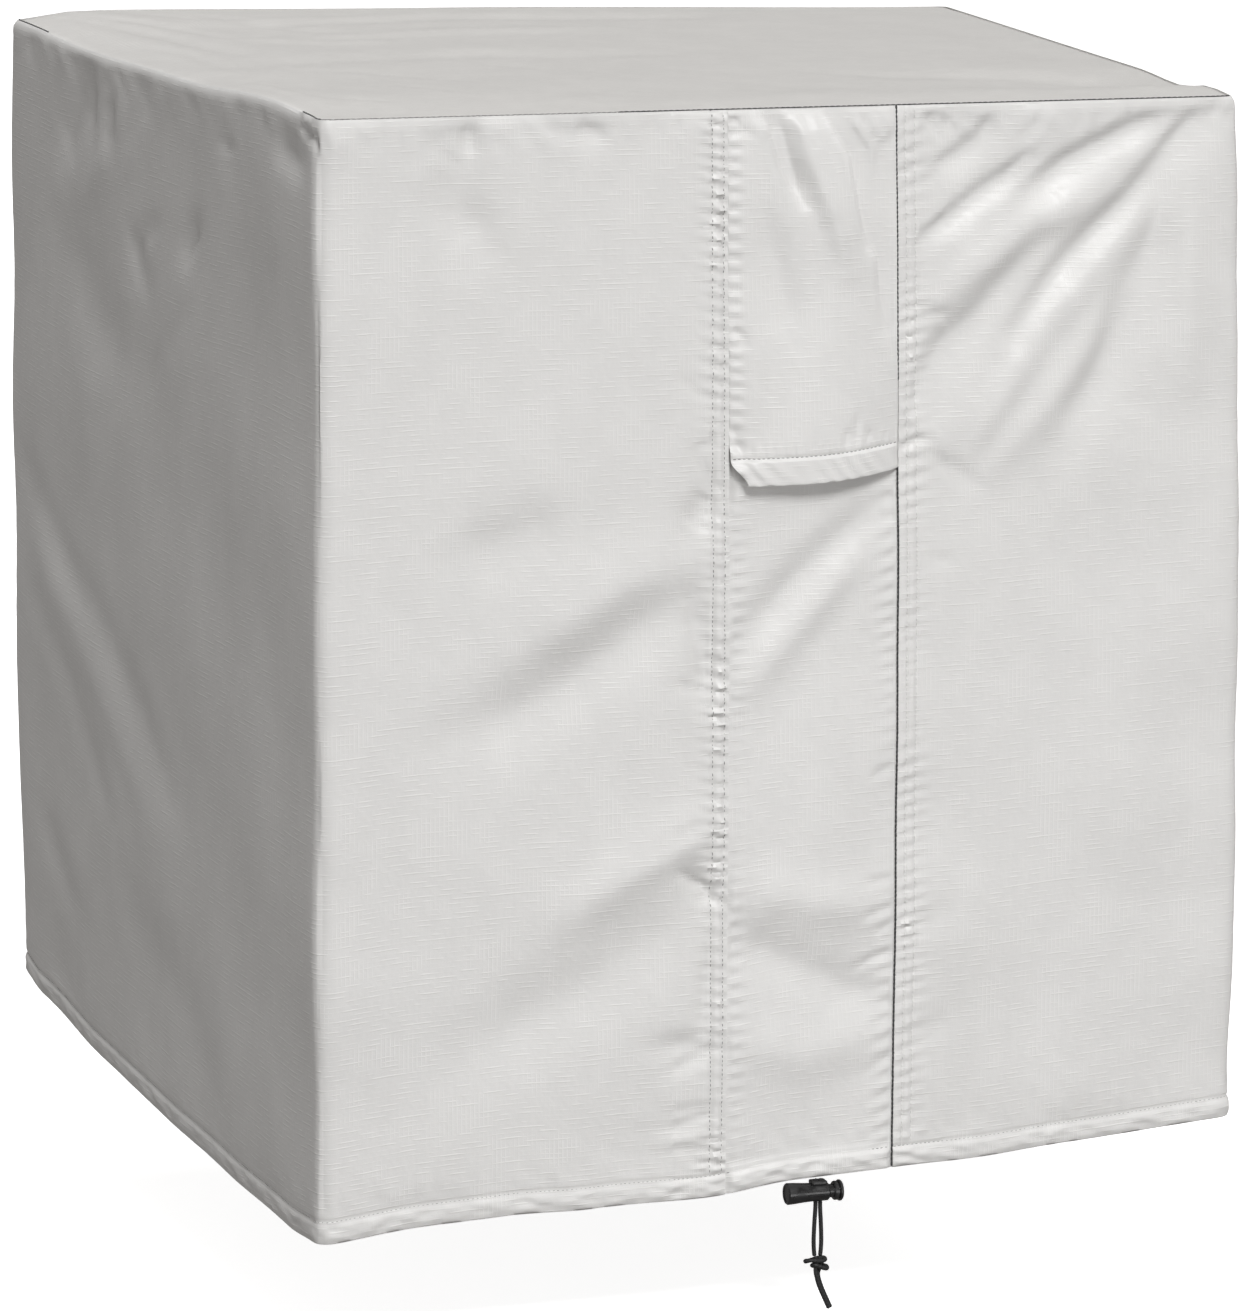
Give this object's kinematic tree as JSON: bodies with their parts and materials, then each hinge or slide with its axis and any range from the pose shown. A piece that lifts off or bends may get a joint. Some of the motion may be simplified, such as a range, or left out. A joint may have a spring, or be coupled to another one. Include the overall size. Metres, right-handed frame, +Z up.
{
  "type": "air conditioner cover",
  "caption": "Boxy fitted fabric cover for an outdoor air conditioner unit, open underneath, with a vent flap on the front and a drawcord lock at the hem.",
  "frame": {"origin": "under the middle of the top panel, where the top of the unit carries the cover", "axes": "+Z up, from the hem to the top; -Y out of the front face with the flap and the cord lock; +X to the right as seen from the front"},
  "size_m": [0.8107, 0.7857, 0.9337],
  "materials": {
    "top_cloth": "coated silver grey ripstop, soft sheen",
    "wall_cloth": "coated silver grey ripstop, soft sheen",
    "strip_cloth": "coated silver grey ripstop, soft sheen",
    "flap_cloth": "coated silver grey ripstop, soft sheen",
    "barrel_plastic": "moulded black plastic, satin",
    "plunger_plastic": "moulded black plastic, satin",
    "left_cord": "braided black cord",
    "right_cord": "braided black cord",
    "knot_cord": "braided black cord"
  },
  "bodies": {
    "cover": {"top_panel": "top_cloth", "wall_band": "wall_cloth", "centre_strip": "strip_cloth", "vent_flap": "flap_cloth", "cord_lock_barrel": "barrel_plastic", "cord_strand_left": "left_cord", "cord_strand_right": "right_cord", "cord_knot": "knot_cord"},
    "plunger": {"cord_lock_plunger": "plunger_plastic"}
  },
  "joints": [
    {"name": "plunger_press", "type": "slide", "parent": "cover", "child": "plunger", "axis": [-1, 0, 0], "range_m": [0, 0.0035], "stiffness_N_per_m": 800, "springref_m": -0.004}
  ]
}
